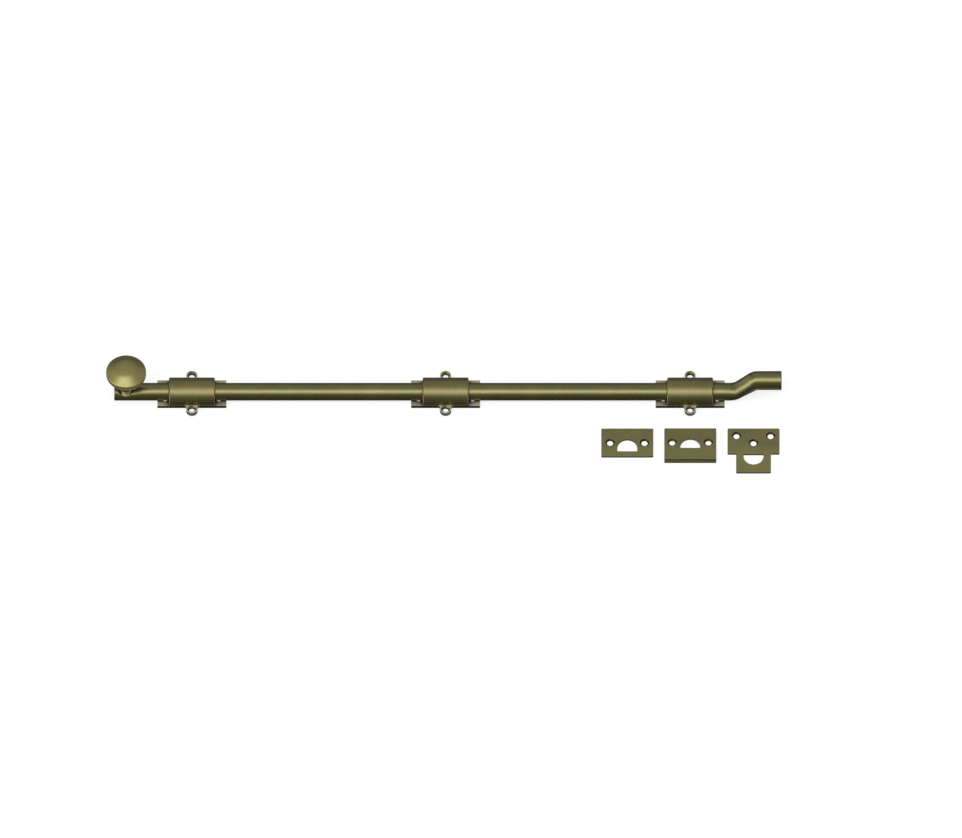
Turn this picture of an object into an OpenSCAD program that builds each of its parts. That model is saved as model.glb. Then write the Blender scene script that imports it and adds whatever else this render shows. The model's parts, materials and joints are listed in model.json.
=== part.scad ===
// Offset surface bolt: a half-round brass bar with a cranked tip slides in three guides, moved by a
// knob, and shoots into one of three loose strike plates. Millimetres, +Z away from the door.
// The origin is the centre of the middle guide on the mounting plane; +X is the way the bolt shoots.

/* [Bolt bar] */
// Width of the half-round bar
bar_w = 19; // [18:0.5:19.5]
// Overall length of the bar, knob end to tip end
bar_len = 652.5; // [648:0.5:660]
// Distance from the knob end of the bar to the middle guide
bar_back = 324; // [322:0.5:330]
// How far the tip stands off above the rest of the bar
offset_rise = 20.1; // [16:0.1:24]
// Slope of the cranked stretch
crank_angle = 47.5; // [42:0.5:55]
// Length of the tip, from the upper corner of the crank to the end
tip_len = 25.6; // [22:0.1:30]
// Extra thickness of the tip behind its half-round
tip_extra = 2.6; // [1:0.1:3]
// Chamfer on the ends of the bar
bar_chamfer = 0.8; // [0.4:0.1:1.5]

/* [Knob] */
// Diameter of the knob's head
knob_d = 39; // [34:0.5:42]
// Height of the underside of the head's rim above the mounting plane
knob_z = 34.9; // [34:0.1:38]
// Thickness of the rim
knob_rim = 6; // [4:0.1:8]
// Radius of the rim's edges
knob_edge = 1.2; // [0.8:0.1:1.8]
// Slope of the head from its rim up to its rounded top
knob_slope = 30; // [20:1:35]
// Radius of the rounded top
knob_crown_r = 35; // [28:1:45]
// Slope of the rounded top where the shoulder below it begins
knob_crown_end = 14; // [10:1:17]
// Radius of the shoulder between the rounded top and the slope
knob_shoulder_r = 15.5; // [8:0.5:20]
// Diameter of the knob's neck
knob_neck_d = 10; // [9:0.5:12]
// Distance from the knob end of the bar to the knob's axis
knob_inset = 11.7; // [11:0.1:16]
// Diameter of the flared foot under the knob
foot_d = 16.6; // [15:0.1:17]

/* [Guides] */
// Distance from the middle guide to the knob-end guide
guide_back = 248; // [235:1:255]
// Distance from the middle guide to the tip-end guide
guide_front = 239; // [225:1:240]
// Base plate length
base_l = 67.4; // [64:0.1:72]
// Base plate width
base_w = 30.6; // [30:0.1:34]
// Base plate thickness
base_t = 3.5; // [3.2:0.1:4.2]
// Spacing of the base plate's screw holes along the bar
base_pitch_x = 52.6; // [52:0.1:54]
// Spacing of the base plate's screw holes across the bar
base_pitch_y = 11; // [10:0.5:13]
// Housing length
housing_l = 44.8; // [40:0.1:45]
// Outside radius of the housing
housing_r = 15.3; // [15:0.1:15.6]
// Spacing of the two ear holes across the bar
ear_pitch = 40.2; // [39:0.1:41]
// Radius of the ear's end
ear_r = 5.5; // [5.2:0.1:6]
// Diameter of every wood screw hole
screw_hole_d = 6; // [4.8:0.1:6.2]
// Diameter of every countersink
csk_d = 9; // [8.6:0.1:9.2]

/* [Strikes] */
// Width of the strike plates
strike_w = 50.8; // [48:0.1:54]
// Thickness of the strike plates
strike_t = 2; // [1.6:0.1:2.6]
// Depth of the flat strike
flat_depth = 33.4; // [32:0.1:36]
// Depth of the angle strike
angle_depth = 39.8; // [38:0.1:42]
// Height of the angle strike's lip, over its face
angle_lip = 5.5; // [4.5:0.1:7]
// Depth of the tee strike's wide head
tee_head = 30; // [28:0.1:32]
// Depth of the whole tee strike
tee_depth = 52.4; // [50:0.1:56]
// Width of the tee strike's tongue
tee_tongue_w = 34; // [30:0.1:38]
// Radius of the bolt holes in the strikes
keep_r = 9.7; // [9.65:0.05:10.2]

/* [Hidden] */

$fn = 96;
brass = [0.47, 0.44, 0.27];
brass_flat = [0.41, 0.39, 0.26];
spring_steel = [0.55, 0.55, 0.53];
big = 100;          // longer than anything it trims
through = 0.5;      // how far a cutter runs past a face
fit = 0.1;          // clearance around a part that sits in another

// Bar
bar_r = bar_w / 2;
bar_edge = 0.2;                     // height of the bar's square edge, below its half-round
bar_z = base_t + 0.8;               // the bar's flat, just off the base plates
axis_z = bar_z + bar_edge;          // centre of the half-round
left_x = -bar_back;
tip_x = left_x + bar_len;
rise_z = axis_z + offset_rise;
corner2_x = tip_x - tip_len;
corner1_x = corner2_x - offset_rise / tan(crank_angle);
bend1_r = 16;                       // both measured at the centre of the half-round
bend2_r = 5;
bend_reach = tan(crank_angle / 2);
bend1_x = corner1_x - bend1_r * bend_reach;
bend2_x = corner2_x + bend2_r * bend_reach;
round_steps = 44;                   // around the half-round
bend_steps = 10;                    // along each bend

// Knob and what holds it
knob_x = left_x + knob_inset;
knob_r = knob_d / 2;
neck_r = knob_neck_d / 2;
foot_r = foot_d / 2;
seat_h = 4.7;                       // the spot face that the foot sits on, above the bar's centre
seat_z = axis_z + seat_h;
foot_rim = 0.7;
foot_slope = 30;
foot_h = foot_rim + (foot_r - neck_r) * tan(foot_slope);
foot_top = seat_z + foot_h;
stud_hole_r = 2.5;
stud_r = 2.45;
stud_clear_r = 2.75;
stud_top = 23;
stud_hole_top = 24;
stud_head_r = 4.9;
stud_seat_r = stud_head_r + fit;
stud_sunk = 0.15;
slot_w = 1.2;
slot_h = 1.1;
edge_r = knob_r - knob_edge;         // where the centres of the rim's edges are
edge_z = knob_z + knob_rim - knob_edge;
cap_angle = 90 - knob_slope;
cap_r = edge_r + knob_edge * cos(cap_angle);
cap_z = edge_z + knob_edge * sin(cap_angle);
crown_angle = 90 - knob_crown_end;
shoulder_reach = knob_crown_r - knob_shoulder_r;
shoulder_x = shoulder_reach * cos(crown_angle);
slope_top_r = shoulder_x + knob_shoulder_r * cos(cap_angle);
slope_top_z = cap_z + (cap_r - slope_top_r) * tan(knob_slope);
shoulder_z = slope_top_z - knob_shoulder_r * sin(cap_angle);
crown_z = shoulder_z - shoulder_reach * sin(crown_angle);
under_slope = 25;
under_angle = 90 - under_slope;
edge_steps = 8;
crown_steps = 7;
crown_step = knob_crown_end / crown_steps;

// Guides
guides = [-guide_back, 0, guide_front];
housing_z = base_t;
channel_r = bar_r + 0.15;
housing_chamfer = 0.9;
ear_y = ear_pitch / 2;
ear_low = 1.2;                      // the ears stand just off the door, so their screws pull down
ear_top = 5.4;
ear_flare = 3;
ear_root_y = housing_r - 2;
spring_w = 8;
spring_t = 0.5;
pocket_z = 2.5;
pocket_l = 42;
pocket_w = 9;
tab_x0 = -19;
tab_x1 = -12;
bow_x1 = 18;
bow_gap = 0.05;
bow_top = bar_z - bow_gap;
bow_mid = (tab_x1 + bow_x1) / 2;
bow_half = (bow_x1 - tab_x1) / 2;
bow_h = bow_top - spring_t - pocket_z;
bow_r = (bow_half * bow_half + bow_h * bow_h) / (2 * bow_h);
bow_facets = 360;
rivet_x = (tab_x0 + tab_x1) / 2;
rivet_r = 1.25;
rivet_hole_r = 1.3;
rivet_head_r = 2.4;
rivet_head_h = 0.6;
rivet_tail_r = 2.1;
rivet_tail_h = 0.85;
rivet_seat_h = 1;
back_gap = 0.1;                     // fixings stop just short of the back face
hs_x = 17;                          // housing screws
hs_y = 11.9;
hs_r = 1.45;
hs_tap_r = 1.5;
hs_clear_r = 1.6;
hs_head_r = 2.6;
hs_seat_r = 2.75;
hs_top = 8;
hs_tap_top = 8.6;
hs_slot_w = 0.8;
hs_slot_h = 0.7;

// Strikes, laid out in front of the tip end
strike_y = -41.1;                   // their back edges
flat_x = 177.6;
angle_x = 239.2;
tee_x = 301;
strike_corner = 1;
corner_facets = 32;
flat_keep_s = 4.4;                  // straight stretch of each bolt hole, beyond its half-round
angle_keep_s = 2.2;
tee_keep_s = 2.6;
flat_keep_y = 22.7;                 // centre of each half-round, from the back edge
angle_keep_y = 22.8;
tee_keep_y = 33.2;
flat_hole_x = 16.8;
angle_hole_x = 17.7;
tee_hole_x = 16.65;
flat_hole_y = flat_depth / 2;
angle_hole_y = 17.6;
tee_hole_y = 8.6;
tee_mid_hole_y = 17;
lip_drop = angle_lip - strike_t;
lip_tilt = atan(lip_drop / (angle_depth - strike_t));   // it rests on its back edge and its lip

// Points of an arc, from angle a0 to angle a1
function arc(cx, cy, r, a0, a1, n) =
    [for (i = [0:n]) let (a = a0 + (a1 - a0) * i / n) [cx + r * cos(a), cy + r * sin(a)]];

// Half disc, flat side on the X axis
module half_disc(r) {
    intersection() {
        circle(r);
        translate([-r, 0]) square([2 * r, r]);
    }
}

// Runs a section along +X: its x becomes Y and its y becomes Z
module along_x(length) {
    rotate([90, 0, 90]) linear_extrude(length) children();
}

// Upper half of a rod along +X with both ends chamfered
module half_rod(r, length, chamfer) {
    intersection() {
        rotate([90, 0, 90]) rotate_extrude()
            polygon([[0, 0], [r - chamfer, 0], [r, chamfer], [r, length - chamfer],
                     [r - chamfer, length], [0, length]]);
        translate([-big, -big, 0]) cube([2 * big, 2 * big, big]);
    }
}

// Countersunk hole through a plate whose top is at height top; the countersink opens upwards
module wood_screw_hole(top) {
    csk_h = (csk_d - screw_hole_d) / 2;
    translate([0, 0, -through]) cylinder(h = top + 2 * through, d = screw_hole_d);
    translate([0, 0, top - csk_h]) cylinder(h = csk_h, d1 = screw_hole_d, d2 = csk_d);
    translate([0, 0, top]) cylinder(h = through, d = csk_d);
}

// ---- Bolt ----

// Where the bar's section stands: [x, height, slope, radius, depth of the square edge]
bar_path = concat(
    [[left_x, axis_z, 0, bar_r - bar_chamfer, bar_edge],
     [left_x + bar_chamfer, axis_z, 0, bar_r, bar_edge]],
    [for (i = [0:bend_steps]) let (a = crank_angle * i / bend_steps)
        [bend1_x + bend1_r * sin(a), axis_z + bend1_r * (1 - cos(a)), a, bar_r, bar_edge]],
    [for (i = [bend_steps:-1:0]) let (a = crank_angle * i / bend_steps)
        [bend2_x - bend2_r * sin(a), rise_z - bend2_r * (1 - cos(a)), a, bar_r, tip_extra]],
    [[tip_x - bar_chamfer, rise_z, 0, bar_r, tip_extra],
     [tip_x, rise_z, 0, bar_r - bar_chamfer, tip_extra - bar_chamfer]]);

// The section at one station: the half-round, then the two corners of the flat
function bar_ring(p) =
    let (section = concat(arc(0, 0, p[3], 0, 180, round_steps), [[-p[3], -p[4]], [p[3], -p[4]]]))
    [for (q = section) [p[0] - q[1] * sin(p[2]), q[0], p[1] + q[1] * cos(p[2])]];

// Skin through rings of the same number of points, closed at both ends
module skin(rings) {
    m = len(rings[0]);
    n = len(rings);
    polyhedron(
        points = [for (ring = rings) each ring],
        faces = concat(
            [[for (j = [0:m - 1]) j]],
            [[for (j = [m - 1:-1:0]) (n - 1) * m + j]],
            [for (i = [0:n - 2], j = [0:m - 1]) let (k = (j + 1) % m)
                [i * m + j, (i + 1) * m + j, (i + 1) * m + k, i * m + k]]));
}

module bolt_bar() {
    color(brass) difference() {
        skin([for (p = bar_path) bar_ring(p)]);
        translate([knob_x, 0, 0]) {
            translate([0, 0, seat_z]) cylinder(h = big, r = foot_r + fit);
            cylinder(h = big, r = stud_clear_r);
            translate([0, 0, bar_z - through]) cylinder(h = through + stud_sunk, r = stud_seat_r);
            translate([0, 0, bar_z + stud_sunk])
                cylinder(h = stud_seat_r - stud_clear_r, r1 = stud_seat_r, r2 = stud_clear_r);
        }
    }
}

// Turned head: a rim with rounded edges, a conical slope and a rounded top
module knob() {
    lower_edge = arc(edge_r, knob_z + knob_edge, knob_edge, -under_angle, 0, edge_steps);
    neck_top = lower_edge[0][1] - (lower_edge[0][0] - neck_r) * tan(under_slope);
    color(brass) translate([knob_x, 0, 0]) difference() {
        rotate_extrude() polygon(concat(
            [[0, foot_top], [neck_r, foot_top], [neck_r, neck_top]],
            lower_edge,
            arc(edge_r, edge_z, knob_edge, 0, cap_angle, edge_steps),
            arc(shoulder_x, shoulder_z, knob_shoulder_r, cap_angle, crown_angle, edge_steps),
            arc(0, crown_z, knob_crown_r, crown_angle + crown_step, 90, crown_steps - 1)));
        translate([0, 0, foot_top - through])
            cylinder(h = stud_hole_top - foot_top + through, r = stud_hole_r);
    }
}

// Foot of the knob: a low rim, then a cone up to the neck
module knob_ferrule() {
    color(brass) translate([knob_x, 0, seat_z]) difference() {
        union() {
            cylinder(h = foot_rim, r = foot_r);
            translate([0, 0, foot_rim]) cylinder(h = foot_h - foot_rim, r1 = foot_r, r2 = neck_r);
        }
        translate([0, 0, -through]) cylinder(h = foot_h + 2 * through, r = stud_clear_r);
    }
}

module knob_screw() {
    low = bar_z + stud_sunk;
    color(brass_flat) translate([knob_x, 0, 0]) difference() {
        union() {
            translate([0, 0, low]) cylinder(h = stud_head_r - stud_r, r1 = stud_head_r, r2 = stud_r);
            translate([0, 0, low]) cylinder(h = stud_top - low, r = stud_r);
        }
        translate([-big, -slot_w / 2, low - through]) cube([2 * big, slot_w, slot_h + through]);
    }
}

// ---- Guides ----

module base_plate(x) {
    color(brass_flat) translate([x, 0, 0]) difference() {
        translate([-base_l / 2, -base_w / 2, 0]) cube([base_l, base_w, base_t]);
        for (sx = [-1, 1], sy = [-1, 1])
            translate([sx * base_pitch_x / 2, sy * base_pitch_y / 2, 0])
                wood_screw_hole(base_t);
        translate([-pocket_l / 2, -pocket_w / 2, pocket_z]) cube([pocket_l, pocket_w, base_t]);
        translate([rivet_x, 0, -through]) cylinder(h = base_t, r = rivet_hole_r);
        translate([rivet_x, 0, 0])
            cylinder(h = rivet_seat_h, r1 = rivet_hole_r + rivet_seat_h, r2 = rivet_hole_r);
        for (sx = [-1, 1], sy = [-1, 1]) translate([sx * hs_x, sy * hs_y, 0]) {
            translate([0, 0, -through]) cylinder(h = base_t + 2 * through, r = hs_clear_r);
            cylinder(h = hs_seat_r - hs_clear_r, r1 = hs_seat_r, r2 = hs_clear_r);
        }
    }
}

// Plan of one ear, pointing to +Y from the housing's wall
module ear_plan() {
    translate([0, ear_y]) circle(ear_r);
    translate([-ear_r, ear_root_y]) square([2 * ear_r, ear_y - ear_root_y]);
    for (s = [-1, 1]) difference() {
        translate([s * (ear_r + ear_flare / 2) - ear_flare / 2, ear_root_y])
            square([ear_flare, housing_r + ear_flare - ear_root_y]);
        translate([s * (ear_r + ear_flare), housing_r + ear_flare]) circle(ear_flare);
    }
}

module ears() {
    difference() {
        for (s = [0, 180]) rotate(s) translate([0, 0, ear_low])
            linear_extrude(ear_top - ear_low) ear_plan();
        translate([-big, -base_w / 2 - fit, -through])
            cube([2 * big, base_w + 2 * fit, housing_z + through]);
    }
}

module housing(x) {
    color(brass) translate([x, 0, 0]) difference() {
        union() {
            translate([-housing_l / 2, 0, housing_z]) half_rod(housing_r, housing_l, housing_chamfer);
            ears();
        }
        translate([-big, 0, axis_z]) along_x(2 * big) half_disc(channel_r);
        translate([-big, -channel_r, 0]) cube([2 * big, 2 * channel_r, axis_z]);
        for (s = [-1, 1]) translate([0, s * ear_y, 0]) wood_screw_hole(ear_top);
        for (sx = [-1, 1], sy = [-1, 1])
            translate([sx * hs_x, sy * hs_y, 0]) cylinder(h = hs_tap_top, r = hs_tap_r);
    }
}

// Leaf spring: a flat tab under the rivet, then one long bow that presses on the bar's flat
module friction_spring(x) {
    color(spring_steel) translate([x, spring_w / 2, 0]) rotate([90, 0, 0]) difference() {
        linear_extrude(spring_w) union() {
            translate([tab_x0, pocket_z]) square([tab_x1 - tab_x0, spring_t]);
            intersection() {
                translate([bow_mid, bow_top - spring_t - bow_r]) difference() {
                    circle(bow_r + spring_t, $fn = bow_facets);
                    circle(bow_r, $fn = bow_facets);
                }
                translate([tab_x1, 0]) square([bow_x1 - tab_x1, bar_z]);
            }
        }
        translate([rivet_x, 0, spring_w / 2]) rotate([-90, 0, 0])
            cylinder(h = bar_z, r = rivet_hole_r);
    }
}

module spring_rivet(x) {
    color(brass_flat) translate([x + rivet_x, 0, 0]) {
        translate([0, 0, back_gap]) cylinder(h = rivet_tail_h, r1 = rivet_tail_r, r2 = rivet_r);
        translate([0, 0, back_gap]) cylinder(h = pocket_z + spring_t - back_gap, r = rivet_r);
        translate([0, 0, pocket_z + spring_t]) cylinder(h = rivet_head_h, r = rivet_head_r);
    }
}

module housing_screws(x) {
    color(brass_flat) for (sx = [-1, 1], sy = [-1, 1])
        translate([x + sx * hs_x, sy * hs_y, back_gap]) difference() {
            union() {
                cylinder(h = hs_head_r - hs_r, r1 = hs_head_r, r2 = hs_r);
                cylinder(h = hs_top - back_gap, r = hs_r);
            }
            translate([-big, -hs_slot_w / 2, -through]) cube([2 * big, hs_slot_w, hs_slot_h + through]);
        }
}

// ---- Strikes ----

// A plate in plan, back edge on y = 0, running to -Y, with small rounded corners
module plate_plan(w, depth) {
    r = strike_corner;
    for (x = [r - w / 2, w / 2 - r], y = [-r, r - depth]) translate([x, y]) circle(r, $fn = corner_facets);
    translate([-w / 2, r - depth]) square([w, depth - 2 * r]);
    translate([r - w / 2, -depth]) square([w - 2 * r, depth]);
}

// The hole for the bolt: a half-round of keep_r and a straight stretch beyond its flat side
module keep_hole(straight) {
    half_disc(keep_r);
    translate([-keep_r, -straight]) square([2 * keep_r, straight]);
}

module flat_strike() {
    color(brass_flat) translate([flat_x, strike_y, 0]) difference() {
        linear_extrude(strike_t) difference() {
            plate_plan(strike_w, flat_depth);
            translate([0, -flat_keep_y]) keep_hole(flat_keep_s);
        }
        for (s = [-1, 1]) translate([s * flat_hole_x, -flat_hole_y, 0]) wood_screw_hole(strike_t);
    }
}

module angle_strike() {
    color(brass_flat) translate([angle_x, strike_y, 0]) rotate([-lip_tilt, 0, 0]) difference() {
        union() {
            linear_extrude(strike_t) difference() {
                plate_plan(strike_w, angle_depth);
                translate([0, -angle_keep_y]) keep_hole(angle_keep_s);
            }
            translate([-strike_w / 2, -angle_depth, -lip_drop])
                cube([strike_w, strike_t, lip_drop + strike_t]);
        }
        for (s = [-1, 1]) translate([s * angle_hole_x, -angle_hole_y, 0]) wood_screw_hole(strike_t);
    }
}

module tee_strike() {
    color(brass_flat) translate([tee_x, strike_y, 0]) difference() {
        linear_extrude(strike_t) difference() {
            union() {
                plate_plan(strike_w, tee_head);
                plate_plan(tee_tongue_w, tee_depth);
            }
            translate([0, -tee_keep_y]) mirror([0, 1]) keep_hole(tee_keep_s);
        }
        for (s = [-1, 1]) translate([s * tee_hole_x, -tee_hole_y, 0]) wood_screw_hole(strike_t);
        translate([0, -tee_mid_hole_y, 0]) wood_screw_hole(strike_t);
    }
}

bolt_bar();
knob();
knob_ferrule();
knob_screw();
base_plate(guides[0]);  // left_base_plate
housing(guides[0]);  // left_housing
friction_spring(guides[0]);  // left_friction_spring
spring_rivet(guides[0]);  // left_spring_rivet
housing_screws(guides[0]);  // left_housing_screws
base_plate(guides[1]);  // middle_base_plate
housing(guides[1]);  // middle_housing
friction_spring(guides[1]);  // middle_friction_spring
spring_rivet(guides[1]);  // middle_spring_rivet
housing_screws(guides[1]);  // middle_housing_screws
base_plate(guides[2]);  // right_base_plate
housing(guides[2]);  // right_housing
friction_spring(guides[2]);  // right_friction_spring
spring_rivet(guides[2]);  // right_spring_rivet
housing_screws(guides[2]);  // right_housing_screws
flat_strike();
angle_strike();
tee_strike();
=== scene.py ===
import json
import math

import bmesh
import bpy
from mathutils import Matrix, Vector


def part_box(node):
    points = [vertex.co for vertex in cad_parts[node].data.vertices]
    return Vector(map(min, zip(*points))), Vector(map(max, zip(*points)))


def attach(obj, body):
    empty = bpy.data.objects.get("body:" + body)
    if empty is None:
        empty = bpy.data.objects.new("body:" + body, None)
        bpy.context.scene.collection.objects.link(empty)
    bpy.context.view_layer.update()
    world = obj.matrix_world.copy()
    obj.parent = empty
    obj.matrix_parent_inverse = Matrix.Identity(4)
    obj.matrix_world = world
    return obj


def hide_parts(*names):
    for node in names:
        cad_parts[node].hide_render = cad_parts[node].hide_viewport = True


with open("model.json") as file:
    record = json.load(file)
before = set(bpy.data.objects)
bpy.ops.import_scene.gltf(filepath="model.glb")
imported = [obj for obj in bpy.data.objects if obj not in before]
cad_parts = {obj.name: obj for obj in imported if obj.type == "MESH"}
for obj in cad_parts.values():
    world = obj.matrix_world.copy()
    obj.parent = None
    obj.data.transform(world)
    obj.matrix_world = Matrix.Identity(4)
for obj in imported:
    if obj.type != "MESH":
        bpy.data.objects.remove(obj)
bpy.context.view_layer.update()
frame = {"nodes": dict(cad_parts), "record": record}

MM = 0.001

# By the end of a CAD node's name: its finish, how wide its rounded edges and its inner fillets are,
# in mm, and how much painted shade its upright sides and its countersinks get, from 0 to 1. A negative
# number paints them lighter than the rest instead, as a painted sheen.
FINISHES = {
    "base_plate": ("plate brass", 0.35, 0.1, 1.0, 1.0),
    "housing": ("cast brass", 0.4, 0.9, 0.0, 0.0),
    "friction_spring": ("spring steel", 0.08, 0.05, 0.0, 0.0),
    "spring_rivet": ("screw brass", 0.12, 0.08, 0.0, 0.0),
    "housing_screws": ("screw brass", 0.12, 0.08, 0.0, 0.0),
    "knob_screw": ("screw brass", 0.15, 0.1, 0.0, 0.0),
    "flat_strike": ("strike brass", 0.45, 0.1, 0.5, 0.9),
    "angle_strike": ("strike brass", 0.45, 0.4, -1.0, 0.9),
    "tee_strike": ("strike brass", 0.45, 0.3, 0.5, 0.9),
}
SHARP_ANGLE = math.radians(30)
FLAT_ANGLE = math.radians(0.5)
BEVEL_STEPS = 3
FLAT_WEIGHT = 80
BEND_R = 1.1

# A face is a side when its normal's Z is below UPRIGHT, and part of a countersink when it is below
# STEEP and the face is further out than OPEN_Y, in metres
UPRIGHT = 0.3
STEEP = 0.8
OPEN_Y = 0.0155

# How near points have to be to become one, and where edges are found: on the floor, and at the
# angle strike's bend, all in metres
WELD = 1e-6
RESTS_Z = 1e-5
BEND_REACH = 0.0015
BEND_Z = 0.002

# Bar, in mm
BAR_R = 9.5
BAR_EDGE = 0.2
BAR_TOP = 14.0
AXIS_Z = BAR_TOP - BAR_R
TIP_EXTRA = 2.6
RISE = 20.1
CRANK = math.radians(47.5)
TIP_LEN = 25.6
BEND_LOW_R = 16.0
BEND_HIGH_R = 5.0
BAR_CHAMFER = 0.8
CORNER_ROUND = 0.35
ARC_STEPS = 64
BEND_STEPS = 24
CORNER_STEPS = 3
CHAMFER_STEPS = 4
STRAIGHT_STEP = 12.0

# Knob and its foot, in mm
KNOB_INSET = 11.7
SEAT_Z = 9.2
SEAT_R = 8.4
FOOT_R = 8.3
FOOT_RIM = 0.7
FOOT_SLOPE = math.radians(30)
FOOT_SHADE_R = 6.5
FOOT_SHADE_X = 4.4
FOOT_SHADE = 0.8
FOOT_EDGE = 0.2
NECK_R = 5.0
FOOT_TOP = SEAT_Z + FOOT_RIM + (FOOT_R - NECK_R) * math.tan(FOOT_SLOPE)
STUD_CLEAR_R = 2.75
STUD_SEAT_R = 5.0
STUD_SUNK = 0.15
RIM_H = 6.0
RIM_EDGE = 1.2
KNOB_R = 19.5
KNOB_SLOPE = math.radians(30)
CROWN_R = 35.0
CROWN_END = math.radians(14)
SHOULDER_R = 15.5
UNDER_SLOPE = math.radians(25)
NECK_FILLET = 2.5
LATHE_STEPS = 128
CROWN_STEPS = 12
SHOULDER_STEPS = 14
SLOPE_STEPS = 6
RIM_STEPS = 10
FILLET_STEPS = 8
FOOT_EDGE_STEPS = 3
FOOT_SLOPE_STEPS = 5


# ---------------------------------------------------------------- materials

# Noise scales, in features per metre, and how the brushed streaks are stretched
CLOUD = 38.0
DRIFT = 60.0
SPECK = 420.0
STREAK = 1500.0
PIT = 2600.0
FILM = 160.0
ROLLED = 1800.0
ALONG_BAR = (0.02, 1.0, 1.0)
ALONG_SPRING = (0.03, 1.0, 1.0)
EVEN = (1.0, 1.0, 1.0)

# Colours, and the two hues that the patina drifts between
BLACK = (0.0, 0.0, 0.0)
# Rubbed edges, also used as a painted sheen on faces marked lighter
RUBBED_AND_SHEEN = (0.46, 0.40, 0.19)
# Painted shade on the strikes' rounded edges
STRIKE_EDGE = (0.08, 0.08, 0.045)
# A painted sheen on the ears' upward tops
EAR_SHEEN = (0.90, 0.88, 0.70)
BROWN = (1.06, 0.98, 0.93)
GREEN = (0.96, 1.0, 1.06)
STEEL_DARK = (0.30, 0.31, 0.32)
STEEL_LIGHT = (0.42, 0.41, 0.39)

# Where the ears' tops, which get a painted sheen, and the strikes' lighter front halves are, in
# metres, and how far up a top faces
EAR_Z = (0.0060, 0.0057)
EAR_Y = (0.0152, 0.0160)
EAR_UP = (0.9, 0.98)
LIGHTER_FRONT_Y = (-0.058, -0.070)

# How much of the clouds is large ones, how far brushed lines show in them, the shares of open sky
# between which the corners' painted shade thins out, and how far streaks, clouds and rubbing change
# roughness
CLOUD_SHARE = 0.65
LINE_SHARE = 0.25
LINE_GAIN = 2.2
OPEN_SKY = (0.4, 0.95)
ROUGH_STREAK = 0.10
ROUGH_CLOUD = 0.06
ROUGH_RUBBED = 0.06

# How deep the bumps are, in metres, and how strongly the lacquer bends light
BRASS_BUMP = 0.00006
STEEL_BUMP = 0.00004
COAT_IOR = 1.55

# The arguments of brass() for each finish
BRASSES = {
    "bar brass": {
        "colour": (0.182, 0.168, 0.048),
        "roughness": 0.33,
        "grain": 0.25,
        "corner_shade": (0.0025, 0.5),
    },
    "foot brass": {
        "colour": (0.200, 0.185, 0.060),
        "roughness": 0.38,
        "brushed": EVEN,
        "grain": 0.1,
        "corner_shade": (0.0025, 0.5),
    },
    "cast brass": {
        "colour": (0.190, 0.169, 0.048),
        "roughness": 0.40,
        "edge_wear_and_shade": 0.3,
        "ears": True,
    },
    "knob brass": {
        "colour": (0.322, 0.283, 0.082),
        "roughness": 0.40,
        "brushed": EVEN,
        "grain": 0.3,
        "corner_shade": (0.003, 0.4),
    },
    "plate brass": {
        "colour": (0.620, 0.605, 0.420),
        "roughness": 0.55,
        "coat": 0.8,
        "grain": 0.8,
        "edge_wear_and_shade": 0.0,
        "tint": 0.2,
        "sides": 0.12,
        "corner_shade": (0.014, 0.06),
    },
    "strike brass": {
        "colour": (0.222, 0.207, 0.064),
        "roughness": 0.42,
        "grain": 0.6,
        "edge": STRIKE_EDGE,
        "edge_wear_and_shade": 0.8,
        "sides": 0.1,
        "front": 0.3,
    },
    "screw brass": {
        "colour": (0.240, 0.205, 0.070),
        "roughness": 0.34,
        "coat": 0.8,
        "brushed": EVEN,
        "grain": 0.4,
    },
}


class Nodes:
    """Short names for building one node tree."""

    def __init__(self, tree):
        self.tree = tree

    def add(self, kind, **inputs):
        node = self.tree.nodes.new(kind)
        for name, value in inputs.items():
            self.put(node, name.replace("_", " "), value)
        return node

    def put(self, node, name, value):
        """Links or sets an input, given by its name or its number."""
        socket = node.inputs[name]
        if isinstance(value, bpy.types.NodeSocket):
            self.tree.links.new(value, socket)
        else:
            socket.default_value = value

    def math(self, operation, a, b=0.0, clamp=False):
        node = self.tree.nodes.new("ShaderNodeMath")
        node.operation = operation
        node.use_clamp = clamp
        self.put(node, 0, a)
        self.put(node, 1, b)
        return node.outputs[0]

    def dot(self, vector, direction):
        node = self.tree.nodes.new("ShaderNodeVectorMath")
        node.operation = "DOT_PRODUCT"
        self.put(node, 0, vector)
        self.put(node, 1, direction)
        return node.outputs["Value"]

    def normalize(self, vector):
        node = self.tree.nodes.new("ShaderNodeVectorMath")
        node.operation = "NORMALIZE"
        self.put(node, 0, vector)
        return node.outputs[0]

    def remap(self, value, low, high, to_low=0.0, to_high=1.0):
        """A smooth step from to_low at low to to_high at high."""
        node = self.tree.nodes.new("ShaderNodeMapRange")
        node.interpolation_type = "SMOOTHSTEP"
        self.put(node, "Value", value)
        self.put(node, "From Min", low)
        self.put(node, "From Max", high)
        self.put(node, "To Min", to_low)
        self.put(node, "To Max", to_high)
        return node.outputs["Result"]

    def mix(self, factor, a, b):
        """Colour a, or b where factor is 1."""
        node = self.tree.nodes.new("ShaderNodeMix")
        node.data_type = "RGBA"
        self.put(node, 0, factor)
        self.put(node, 6, a)
        self.put(node, 7, b)
        return node.outputs[2]

    def noise(self, coords, scale, stretch=EVEN, detail=3.0, rough=0.55):
        mapping = self.add("ShaderNodeMapping", Vector=coords, Scale=stretch)
        node = self.add("ShaderNodeTexNoise", Vector=mapping.outputs[0], Scale=scale,
                        Detail=detail, Roughness=rough)
        return node.outputs[0]

    def finish(self, kind, shader):
        self.put(self.tree.nodes.new(kind), "Surface", shader.outputs[0])


def rgb(colour, factor=1.0):
    return tuple(c * factor for c in colour) + (1.0,)


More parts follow.
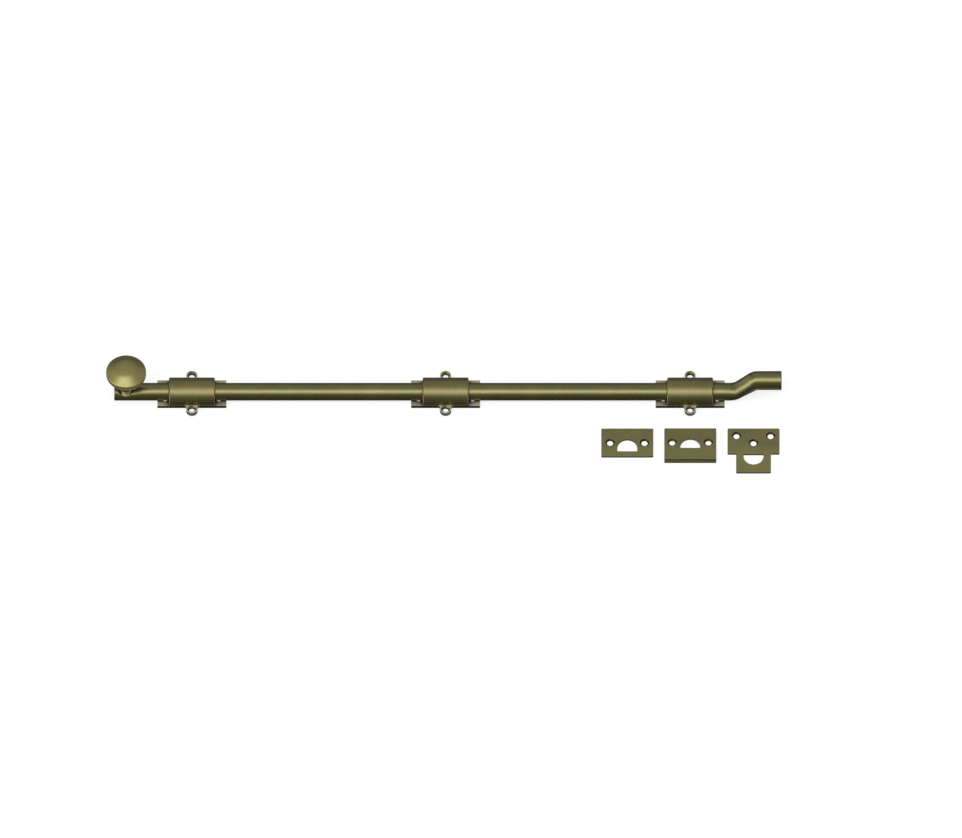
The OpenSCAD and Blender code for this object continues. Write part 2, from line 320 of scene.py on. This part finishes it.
def ear_top_sheen(n, coords, grain):
    """1 on the ears' upward-facing tops, which get a lighter colour as a painted reflection."""
    place = n.add("ShaderNodeSeparateXYZ", Vector=coords)
    facing = n.add("ShaderNodeSeparateXYZ", Vector=n.add("ShaderNodeTexCoord").outputs["Normal"])
    low = n.remap(place.outputs[2], *EAR_Z)
    out = n.remap(n.math("ABSOLUTE", place.outputs[1]), *EAR_Y)
    up = n.remap(facing.outputs[2], *EAR_UP)
    mask = n.math("MULTIPLY", n.math("MULTIPLY", low, out), up)
    return n.math("MULTIPLY", mask, n.remap(grain, 0.3, 0.6, 0.6, 1.0))


def face_mark(n, name):
    """The number that a face of the mesh carries under this name."""
    mark = n.add("ShaderNodeAttribute")
    mark.attribute_name = name
    return mark.outputs["Fac"]


def painted_occlusion_shade(n, reach, level):
    """1 in the open, down to level in corners and beside other parts: painted shade from occlusion."""
    shade = n.add("ShaderNodeAmbientOcclusion", Distance=reach)
    shade.samples = 8
    return n.remap(shade.outputs["AO"], *OPEN_SKY, level, 1.0)


def lighter_front(n, coords):
    """0 on the back half of the strikes and 1 on their front half, which is made lighter."""
    place = n.add("ShaderNodeSeparateXYZ", Vector=coords)
    return n.remap(place.outputs[1], *LIGHTER_FRONT_Y)


def empty_material(name):
    """A material with no nodes, and the helper that fills it."""
    material = bpy.data.materials.new(name)
    material.use_nodes = True
    tree = material.node_tree
    tree.nodes.clear()
    return material, Nodes(tree)


def patina(n, coords, colour, tint, cloud, speck, streak):
    """Clouds in two sizes, a slow drift between a browner and a greener hue, and brushed lines."""
    hue = n.remap(n.noise(coords, DRIFT, detail=1.0), 0.35, 0.65)
    brown = tuple(c * h for c, h in zip(colour, BROWN))
    green = tuple(c * h for c, h in zip(colour, GREEN))
    low = n.mix(hue, rgb(brown, 1.0 - tint), rgb(green, 1.0 - tint))
    high = n.mix(hue, rgb(brown, 1.0 + tint), rgb(green, 1.0 + tint))
    large = n.math("MULTIPLY", cloud, CLOUD_SHARE)
    small = n.math("MULTIPLY", speck, 1.0 - CLOUD_SHARE)
    clouds = n.math("ADD", large, small)
    base = n.mix(n.remap(clouds, 0.36, 0.64), low, high)
    lines = n.remap(streak, 0.3, 0.7)
    return n.mix(n.math("MULTIPLY", lines, LINE_SHARE), base, rgb(colour, 1.0 + LINE_GAIN * tint))


def brass(name, colour, roughness, coat=1.0, brushed=ALONG_BAR, grain=0.5, edge_wear_and_shade=0.5, tint=0.12,
          edge=RUBBED_AND_SHEEN, sides=0.1, ears=False, front=0.0, corner_shade=(0.006, 0.25)):
    """Antique brass: patina, brushed streaks, grain and rubbed edges, with painted light: shade on
    marked faces, on the strikes' edges and in the corners, and a sheen on the ears' tops and on
    faces marked lighter.

    sides is how bright the faces with painted shade are beside the rest, front is how much lighter
    the front half of a strike is, and the last argument gives how far the painted shade in the
    corners reaches and how dark it leaves them."""
    material, n = empty_material(name)
    coords = n.add("ShaderNodeTexCoord").outputs["Object"]
    cloud = n.noise(coords, CLOUD, detail=4.0, rough=0.6)
    speck = n.noise(coords, SPECK, detail=2.0)
    streak = n.noise(coords, STREAK, stretch=brushed, detail=3.0, rough=0.6)
    pit = n.noise(coords, PIT, detail=2.0)

    base = patina(n, coords, colour, tint, cloud, speck, streak)
    if front:
        front_share = n.math("MULTIPLY", lighter_front(n, coords), 0.8)
        base = n.mix(front_share, base, rgb(colour, 1.0 + front))
    # Painted shade on marked faces; faces marked with a negative amount get a painted sheen instead
    mark = face_mark(n, "painted_shade")
    painted_shade = n.math("MULTIPLY", mark, 1.0 - sides, clamp=True)
    base = n.mix(painted_shade, base, rgb(BLACK))
    base = n.mix(n.math("MULTIPLY", mark, -1.0, clamp=True), base, rgb(RUBBED_AND_SHEEN))
    # Marked edges take the edge colour: rubbed wear on most parts, painted shade on the strikes' edges
    edge_wear_and_shade_mask = n.math("MULTIPLY", face_mark(n, "edge_wear_and_shade"), n.remap(speck, 0.34, 0.6, 0.35, 1.0))
    edge_wear_and_shade_mask = n.math("MULTIPLY", edge_wear_and_shade_mask, edge_wear_and_shade)
    base = n.mix(edge_wear_and_shade_mask, base, rgb(edge))
    # Painted sheen: the ears' upward tops are made lighter, as a painted reflection
    if ears:
        base = n.mix(ear_top_sheen(n, coords, pit), base, rgb(EAR_SHEEN))
    # Painted shade: darker in corners, under the knob and beside other parts, from ambient occlusion
    unshaded = painted_occlusion_shade(n, *corner_shade)
    base = n.mix(unshaded, rgb(BLACK), base)

    rough = n.math("ADD", roughness - ROUGH_STREAK / 2, n.math("MULTIPLY", streak, ROUGH_STREAK))
    rough = n.math("ADD", rough, n.math("MULTIPLY", cloud, ROUGH_CLOUD))
    rough = n.math("SUBTRACT", rough, n.math("MULTIPLY", edge_wear_and_shade_mask, ROUGH_RUBBED), clamp=True)
    height = n.math("ADD", n.math("MULTIPLY", streak, 0.5), n.math("MULTIPLY", pit, grain))
    bump = n.add("ShaderNodeBump", Strength=0.35, Distance=BRASS_BUMP, Height=height)

    # The lacquer coat is thinned where shade is painted
    shine = n.math("MULTIPLY", unshaded, n.math("SUBTRACT", 1.0, painted_shade))
    shader = n.add("ShaderNodeBsdfPrincipled", Metallic=1.0, Roughness=rough, Normal=bump.outputs[0])
    n.put(shader, "Base Color", base)
    n.put(shader, "Coat Weight", n.math("MULTIPLY", shine, coat))
    n.put(shader, "Coat Roughness", 0.6 * roughness)
    n.put(shader, "Coat IOR", COAT_IOR)
    n.finish("ShaderNodeOutputMaterial", shader)
    return material


def steel(name):
    """Cold-rolled spring steel with a thin film of oil."""
    material, n = empty_material(name)
    coords = n.add("ShaderNodeTexCoord").outputs["Object"]
    film = n.noise(coords, FILM, detail=3.0)
    rolled = n.noise(coords, ROLLED, stretch=ALONG_SPRING, detail=2.0)
    base = n.mix(n.remap(film, 0.35, 0.65), rgb(STEEL_DARK), rgb(STEEL_LIGHT))
    rough = n.math("ADD", 0.24, n.math("MULTIPLY", rolled, 0.16))
    bump = n.add("ShaderNodeBump", Strength=0.3, Distance=STEEL_BUMP, Height=rolled)
    shader = n.add("ShaderNodeBsdfPrincipled", Metallic=1.0, Roughness=rough, Normal=bump.outputs[0])
    n.put(shader, "Base Color", base)
    n.finish("ShaderNodeOutputMaterial", shader)
    return material


def make_materials():
    materials = {name: brass(name, **look) for name, look in BRASSES.items()}
    materials["spring steel"] = steel("spring steel")
    return materials


# ---------------------------------------------------------------- shapes

def arc(cx, cy, radius, start, end, steps):
    """Points of an arc, angles in radians."""
    angles = [start + (end - start) * i / steps for i in range(steps + 1)]
    return [(cx + radius * math.cos(a), cy + radius * math.sin(a)) for a in angles]


def between(start, end, steps):
    """Points that divide the straight line from start to end, without its ends."""
    return [tuple(a + (b - a) * i / steps for a, b in zip(start, end)) for i in range(1, steps)]


def object_from(bm, name):
    """A smooth-shaded object whose sharp edges stay sharp."""
    bmesh.ops.recalc_face_normals(bm, faces=bm.faces)
    for face in bm.faces:
        face.smooth = True
    for edge in bm.edges:
        edge.smooth = edge.calc_face_angle(0.0) < SHARP_ANGLE
    mesh = bpy.data.meshes.new(name)
    bm.to_mesh(mesh)
    bm.free()
    # the CAD's own normals no longer fit the new edges
    custom = mesh.attributes.get("custom_normal")
    if custom:
        mesh.attributes.remove(custom)
    obj = bpy.data.objects.new(name, mesh)
    bpy.context.scene.collection.objects.link(obj)
    return obj


def loft(rings):
    """A closed bmesh skin through rings of points, capped at both ends."""
    bm = bmesh.new()
    made = [[bm.verts.new(Vector(p) * MM) for p in ring] for ring in rings]
    count = len(made[0])
    for a, b in zip(made, made[1:]):
        for j in range(count):
            k = (j + 1) % count
            bm.faces.new((a[j], b[j], b[k], a[k]))
    bm.faces.new(made[0])
    bm.faces.new(list(reversed(made[-1])))
    return bm


def lathe(profile, x):
    """A turned bmesh from (radius, height) points that start and end on the axis."""
    bm = bmesh.new()
    bottom = bm.verts.new(Vector((x, 0, profile[0][1])) * MM)
    top = bm.verts.new(Vector((x, 0, profile[-1][1])) * MM)
    rings = []
    for radius, z in profile[1:-1]:
        turn = [2 * math.pi * i / LATHE_STEPS for i in range(LATHE_STEPS)]
        ring = [Vector((x + radius * math.cos(a), radius * math.sin(a), z)) * MM for a in turn]
        rings.append([bm.verts.new(p) for p in ring])
    for i in range(LATHE_STEPS):
        k = (i + 1) % LATHE_STEPS
        bm.faces.new((bottom, rings[0][k], rings[0][i]))
        bm.faces.new((top, rings[-1][i], rings[-1][k]))
        for a, b in zip(rings, rings[1:]):
            bm.faces.new((a[i], a[k], b[k], b[i]))
    return bm


def round_edges(bm, edges, width):
    """Bevels edges by width in mm and returns the new faces."""
    made = bmesh.ops.bevel(bm, geom=edges, offset=width * MM, offset_type="OFFSET",
                           segments=BEVEL_STEPS, profile=0.5, affect="EDGES",
                           clamp_overlap=True, loop_slide=True)
    return made["faces"]


def bend_edges(bm):
    """The long edge along which the angle strike's front is bent down."""
    front = min(v.co.y for v in bm.verts) + BEND_REACH
    return [e for e in bm.edges if all(v.co.y < front and v.co.z > BEND_Z for v in e.verts)]


def mark_painted_shade(bm, sides, sinks):
    """Painted shade on upright sides and in ears' and strikes' countersinks; a negative amount paints
    a sheen.
    """
    painted_shade = bm.faces.layers.float.new("painted_shade")
    bm.normal_update()
    for face in bm.faces:
        up = abs(face.normal.z)
        if up < UPRIGHT:
            face[painted_shade] = sides
        elif up < STEEP and abs(face.calc_center_median().y) > OPEN_Y:
            face[painted_shade] = sinks
    return painted_shade


def soften(bm, width, fillet, sides, sinks):
    """Fillets a bmesh's inner corners, rounds its outer edges and marks them for edge colour and
    painted shade.

    Edges that lie on the floor stay sharp."""
    edge_wear_and_shade = bm.faces.layers.float.new("edge_wear_and_shade")
    painted_shade = mark_painted_shade(bm, sides, sinks)
    inner = [e for e in bm.edges if e.calc_face_angle_signed(0.0) < -SHARP_ANGLE]
    round_edges(bm, inner, fillet)
    raised = [e for e in bm.edges if max(v.co.z for v in e.verts) > RESTS_Z]
    outer = [e for e in raised if e.calc_face_angle_signed(0.0) > SHARP_ANGLE]
    rounded = round_edges(bm, outer, width)
    bm.normal_update()
    # Upper rounded faces take the edge colour; lower ones get painted shade
    for face in rounded:
        low = face.normal.z < UPRIGHT
        face[edge_wear_and_shade] = 0.0 if low else 1.0
        face[painted_shade] = max(sides, 0.0) if low else 0.0


def weighted(obj):
    """Keeps large faces flat in shading beside their rounded edges."""
    modifier = obj.modifiers.new("Flat faces stay flat", "WEIGHTED_NORMAL")
    modifier.keep_sharp = True
    modifier.weight = FLAT_WEIGHT


def finished_copy(node, width, fillet, sides, sinks):
    """The CAD node's own shape as clean faces, with rounded edges."""
    bm = bmesh.new()
    bm.from_mesh(frame["nodes"][node].data)
    bmesh.ops.remove_doubles(bm, verts=bm.verts, dist=WELD)
    bmesh.ops.dissolve_limit(bm, angle_limit=FLAT_ANGLE, verts=bm.verts, edges=bm.edges)
    if node == "angle_strike":
        round_edges(bm, bend_edges(bm), BEND_R)
    soften(bm, width, fillet, sides, sinks)
    obj = object_from(bm, node + "_finished")
    weighted(obj)
    return obj


def cut(obj, cutter):
    """Takes cutter's shape out of obj for good."""
    modifier = obj.modifiers.new("Cut", "BOOLEAN")
    modifier.operation = "DIFFERENCE"
    modifier.solver = "EXACT"
    modifier.object = cutter
    graph = bpy.context.evaluated_depsgraph_get()
    mesh = bpy.data.meshes.new_from_object(obj.evaluated_get(graph))
    obj.modifiers.clear()
    obj.data = mesh
    bpy.data.objects.remove(cutter)


def bar_section(radius, depth):
    """The half-round with its flat side and two slightly rounded corners, as (across, up)."""
    turn = arc(0, 0, radius, 0, math.pi, ARC_STEPS)
    r = min(CORNER_ROUND, depth * 0.9)
    left = arc(-radius + r, -depth + r, r, math.pi, 1.5 * math.pi, CORNER_STEPS)
    right = arc(radius - r, -depth + r, r, 1.5 * math.pi, 2 * math.pi, CORNER_STEPS)
    return turn + left + right


def bar_stations(left, tip):
    """[x, height, slope, radius, depth below the half-round] along the bar."""
    reach = math.tan(CRANK / 2)
    high = AXIS_Z + RISE
    corner_high = tip - TIP_LEN
    corner_low = corner_high - RISE / math.tan(CRANK)
    bend_low = corner_low - BEND_LOW_R * reach
    bend_high = corner_high + BEND_HIGH_R * reach
    end_round = arc(0, 0, BAR_CHAMFER, 0, math.pi / 2, CHAMFER_STEPS)
    stations = []
    for c, s in end_round:
        stations.append((left + BAR_CHAMFER - c, AXIS_Z, 0, BAR_R - BAR_CHAMFER + s, BAR_EDGE))
    x = left + BAR_CHAMFER + STRAIGHT_STEP / 4
    while x < bend_low - STRAIGHT_STEP:
        stations.append((x, AXIS_Z, 0, BAR_R, BAR_EDGE))
        x += STRAIGHT_STEP
    for i in range(BEND_STEPS + 1):
        a = CRANK * i / BEND_STEPS
        up = BEND_LOW_R * (1 - math.cos(a))
        stations.append((bend_low + BEND_LOW_R * math.sin(a), AXIS_Z + up, a, BAR_R, BAR_EDGE))
    for i in range(BEND_STEPS, -1, -1):
        a = CRANK * i / BEND_STEPS
        down = BEND_HIGH_R * (1 - math.cos(a))
        stations.append((bend_high - BEND_HIGH_R * math.sin(a), high - down, a, BAR_R, TIP_EXTRA))
    for x in (0.3, 0.6, 0.9):
        at = bend_high + (tip - bend_high - BAR_CHAMFER) * x
        stations.append((at, high, 0, BAR_R, TIP_EXTRA))
    for c, s in reversed(end_round):
        inset = BAR_CHAMFER - s
        stations.append((tip - BAR_CHAMFER + c, high, 0, BAR_R - inset, TIP_EXTRA - inset))
    return stations


def make_bar(knob_x, left, tip):
    """The half-round bar with its crank, the spot face for the foot and the screw's seat behind."""
    rings = []
    for x, z, slope, radius, depth in bar_stations(left, tip):
        section = bar_section(radius, depth)
        rings.append([(x - v * math.sin(slope), u, z + v * math.cos(slope)) for u, v in section])
    bar = object_from(loft(rings), "bar")
    back_z = AXIS_Z - BAR_EDGE
    cone_top = back_z + STUD_SUNK + STUD_SEAT_R - STUD_CLEAR_R
    hollow = [(0, 0), (STUD_SEAT_R, 0), (STUD_SEAT_R, back_z + STUD_SUNK), (STUD_CLEAR_R, cone_top),
              (STUD_CLEAR_R, SEAT_Z), (SEAT_R, SEAT_Z), (SEAT_R, 2 * BAR_TOP), (0, 2 * BAR_TOP)]
    cut(bar, object_from(lathe(hollow, knob_x), "hollow"))
    weighted(bar)
    return bar


def make_knob(knob_x, top):
    """The head on its neck, turned from the top down: crown, shoulder, slope, rim, underside, neck."""
    edge_r = KNOB_R - RIM_EDGE
    cap_angle = math.pi / 2 - KNOB_SLOPE
    crown_angle = math.pi / 2 - CROWN_END
    crown_z = top - CROWN_R
    reach = CROWN_R - SHOULDER_R
    shoulder_z = crown_z + reach * math.sin(crown_angle)
    shoulder = arc(reach * math.cos(crown_angle), shoulder_z, SHOULDER_R, cap_angle, crown_angle,
                   SHOULDER_STEPS)
    slope_high = shoulder[0]
    cap_r = edge_r + RIM_EDGE * math.cos(cap_angle)
    cap_z = slope_high[1] - (cap_r - slope_high[0]) * math.tan(KNOB_SLOPE)
    edge_z = cap_z - RIM_EDGE * math.sin(cap_angle)
    low_z = edge_z + 2 * RIM_EDGE - RIM_H
    under = arc(edge_r, low_z, RIM_EDGE, UNDER_SLOPE - math.pi / 2, 0, RIM_STEPS)
    neck_top = under[0][1] - (under[0][0] - NECK_R) * math.tan(UNDER_SLOPE)
    set_back = NECK_FILLET * math.tan((math.pi / 2 - UNDER_SLOPE) / 2)
    fillet = arc(NECK_R + NECK_FILLET, neck_top - set_back, NECK_FILLET, math.pi,
                 math.pi / 2 + UNDER_SLOPE, FILLET_STEPS)
    rim = arc(edge_r, edge_z, RIM_EDGE, 0, cap_angle, RIM_STEPS)
    slope = between((cap_r, cap_z), slope_high, SLOPE_STEPS)
    crown = arc(0, crown_z, CROWN_R, crown_angle, math.pi / 2, CROWN_STEPS)[1:-1]
    profile = [(0, FOOT_TOP), (NECK_R, FOOT_TOP)] + fillet + under
    profile += rim + slope + shoulder + crown + [(0, top)]
    return object_from(lathe(profile, knob_x), "knob_head")


def make_foot(knob_x):
    """The foot, with painted shade at its two sides where it sits in the bar's spot face."""
    rim_top = SEAT_Z + FOOT_RIM
    edge = FOOT_EDGE
    slope_normal = math.pi / 2 - FOOT_SLOPE
    profile = [(0, SEAT_Z), (FOOT_R - edge, SEAT_Z)]
    profile += arc(FOOT_R - edge, SEAT_Z + edge, edge, -math.pi / 2, 0, FOOT_EDGE_STEPS)[1:]
    profile += arc(FOOT_R - edge, rim_top - edge, edge, 0, slope_normal, FOOT_EDGE_STEPS)
    high = (NECK_R, FOOT_TOP)
    profile += between(profile[-1], high, FOOT_SLOPE_STEPS) + [high, (0, FOOT_TOP)]
    bm = lathe(profile, knob_x)
    painted_shade = bm.faces.layers.float.new("painted_shade")
    for face in bm.faces:
        centre = face.calc_center_median() / MM
        side = abs(centre.x - knob_x)
        in_groove = side > FOOT_SHADE_X and math.hypot(side, centre.y) > FOOT_SHADE_R
        face[painted_shade] = FOOT_SHADE if in_groove else 0.0
    return object_from(bm, "knob_foot")


# ---------------------------------------------------------------- scene

# Directions
RIGHT = (1.0, 0.0, 0.0)
LEFT = (-1.0, 0.0, 0.0)
BACK = (0.0, 1.0, 0.0)
UP = (0.0, 0.0, 1.0)

# Lights in the sky: how many degrees up from the front horizon, the degrees from its middle within
# which a light is full and at which it is gone, and its strength; a wall has only the last three
KEY = (66.5, 9, 31, 1.2)
CORE = (66, 5, 13, 1.6)
CEILING = (120, 12, 54, 0.35)
UNDER = (-82, 14, 38, 0.6)
WALL = (26, 57, 0.5)
KEY_SQUEEZE = 0.6
BACKDROP = 1.0
LIGHT_COLOUR = (1.0, 0.99, 0.97)

# The strip's strength, how far in front it runs, and where it sets in across, on the left and from
# below; and the room's glow: where it starts to rise and ends, and how strong it is at both
STRIP = 2.2
STRIP_FRONT = 0.46
STRIP_ACROSS = (0.32, 0.08)
STRIP_LEFT = (0.1, 0.5)
STRIP_UP = (-0.35, -0.05)
ROOM = (-0.6, 0.0, 0.05, 0.17)

FLOOR_SIZE = 6.0
FLOOR_Z = -0.0003
FLOOR_GREY = (0.36, 0.36, 0.36)
FLOOR_GLOW = 0.76

CAMERA_ELEVATION = math.radians(55)
CAMERA_TARGET = (0.0346, -0.0284, 0.0)
CAMERA_SCALE = 0.9404
CAMERA_AWAY = 2.0


def take_over(piece, node, body, material):
    """piece stands for the CAD node, rides with its body and wears the material."""
    piece.data.materials.clear()
    piece.data.materials.append(material)
    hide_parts(node)
    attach(piece, body)


def make_bolt(materials):
    low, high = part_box("bolt_bar")
    left, tip = low.x / MM, high.x / MM
    knob_x = left + KNOB_INSET
    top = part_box("knob")[1].z / MM
    bar = make_bar(knob_x, left, tip)
    take_over(bar, "bolt_bar", "bolt", materials["bar brass"])
    knob = make_knob(knob_x, top)
    take_over(knob, "knob", "bolt", materials["knob brass"])
    foot = make_foot(knob_x)
    take_over(foot, "knob_ferrule", "bolt", materials["foot brass"])


def make_finished_nodes(materials):
    """A finished copy of every node that is not rebuilt by make_bolt."""
    bodies = frame["record"]["behaviour"]["bodies"]
    body_of = {node: body for body, members in bodies.items() for node in members}
    for node in sorted(frame["nodes"]):
        kind = next((k for k in FINISHES if node.endswith(k)), None)
        if kind is None:
            continue
        finish, *shape = FINISHES[kind]
        piece = finished_copy(node, *shape)
        take_over(piece, node, body_of[node], materials[finish])


def make_floor():
    """A plain pale floor that glows a little and is not seen in the brass."""
    bm = bmesh.new()
    bmesh.ops.create_grid(bm, x_segments=8, y_segments=8, size=FLOOR_SIZE)
    floor = object_from(bm, "floor")
    floor.location.z = FLOOR_Z
    material = bpy.data.materials.new("pale floor")
    material.use_nodes = True
    shader = material.node_tree.nodes["Principled BSDF"]
    shader.inputs["Base Color"].default_value = rgb(FLOOR_GREY)
    shader.inputs["Roughness"].default_value = 0.9
    shader.inputs["Specular IOR Level"].default_value = 0.0
    shader.inputs["Emission Color"].default_value = (1.0, 1.0, 1.0, 1.0)
    shader.inputs["Emission Strength"].default_value = FLOOR_GLOW
    floor.data.materials.append(material)
    floor.visible_glossy = False
    floor.visible_diffuse = False


def towards(degrees):
    """A direction in the YZ plane: 0 is the front horizon, 90 straight up, 180 the back horizon."""
    a = math.radians(degrees)
    return (0.0, -math.cos(a), math.sin(a))


def lobe(n, way, direction, inner, outer, strength):
    """A soft light in the sky, full within inner degrees of direction and gone at outer."""
    near, far = math.cos(math.radians(inner)), math.cos(math.radians(outer))
    return n.remap(n.dot(way, direction), far, near, 0.0, strength)


def side_strip(n, way, strength):
    """The key's long tail: a strip that comes down on the left to the horizon, in front of the bar."""
    across = n.math("ABSOLUTE", n.math("ADD", n.dot(way, BACK), STRIP_FRONT))
    band = n.remap(across, *STRIP_ACROSS)
    left = n.remap(n.dot(way, LEFT), *STRIP_LEFT)
    above = n.remap(n.dot(way, UP), *STRIP_UP)
    return n.math("MULTIPLY", n.math("MULTIPLY", band, left), n.math("MULTIPLY", above, strength))


def make_light():
    """A soft key above the front with a brighter core and a strip on the left, a dim ceiling, a
    glow from below, two walls and a faint room.

    Seen directly, the room is as pale as the floor, so low views have a plain backdrop."""
    world = bpy.data.worlds.new("studio")
    bpy.context.scene.world = world
    world.use_nodes = True
    world.node_tree.nodes.clear()
    n = Nodes(world.node_tree)
    way = n.add("ShaderNodeTexCoord").outputs["Generated"]
    squeezed = n.add("ShaderNodeMapping", Vector=way, Scale=(KEY_SQUEEZE, 1.0, 1.0))
    wide = n.normalize(squeezed.outputs[0])
    key = lobe(n, wide, towards(KEY[0]), *KEY[1:])
    core = lobe(n, wide, towards(CORE[0]), *CORE[1:])
    ceiling = lobe(n, way, towards(CEILING[0]), *CEILING[1:])
    under = lobe(n, way, towards(UNDER[0]), *UNDER[1:])
    right = lobe(n, way, RIGHT, *WALL)
    left = lobe(n, way, LEFT, *WALL)
    strip = side_strip(n, way, STRIP)
    room = n.remap(n.dot(way, UP), *ROOM)
    total = room
    for part in (key, core, ceiling, under, right, left, strip):
        total = n.math("ADD", total, part)
    seen = n.add("ShaderNodeLightPath").outputs["Is Camera Ray"]
    total = n.math("ADD", n.math("MULTIPLY", total, n.math("SUBTRACT", 1.0, seen)),
                   n.math("MULTIPLY", seen, BACKDROP))
    background = n.add("ShaderNodeBackground", Strength=total, Color=rgb(LIGHT_COLOUR))
    n.finish("ShaderNodeOutputWorld", background)


def make_camera():
    data = bpy.data.cameras.new("camera")
    data.type = "ORTHO"
    data.ortho_scale = CAMERA_SCALE
    data.clip_end = 10 * CAMERA_AWAY
    camera = bpy.data.objects.new("camera", data)
    bpy.context.scene.collection.objects.link(camera)
    back = Vector((0.0, -math.cos(CAMERA_ELEVATION), math.sin(CAMERA_ELEVATION)))
    camera.location = Vector(CAMERA_TARGET) + CAMERA_AWAY * back
    camera.rotation_euler = (math.pi / 2 - CAMERA_ELEVATION, 0.0, 0.0)
    bpy.context.scene.camera = camera


materials = make_materials()
make_bolt(materials)
make_finished_nodes(materials)
make_floor()
make_light()
make_camera()
bpy.context.scene.view_settings.view_transform = "Standard"
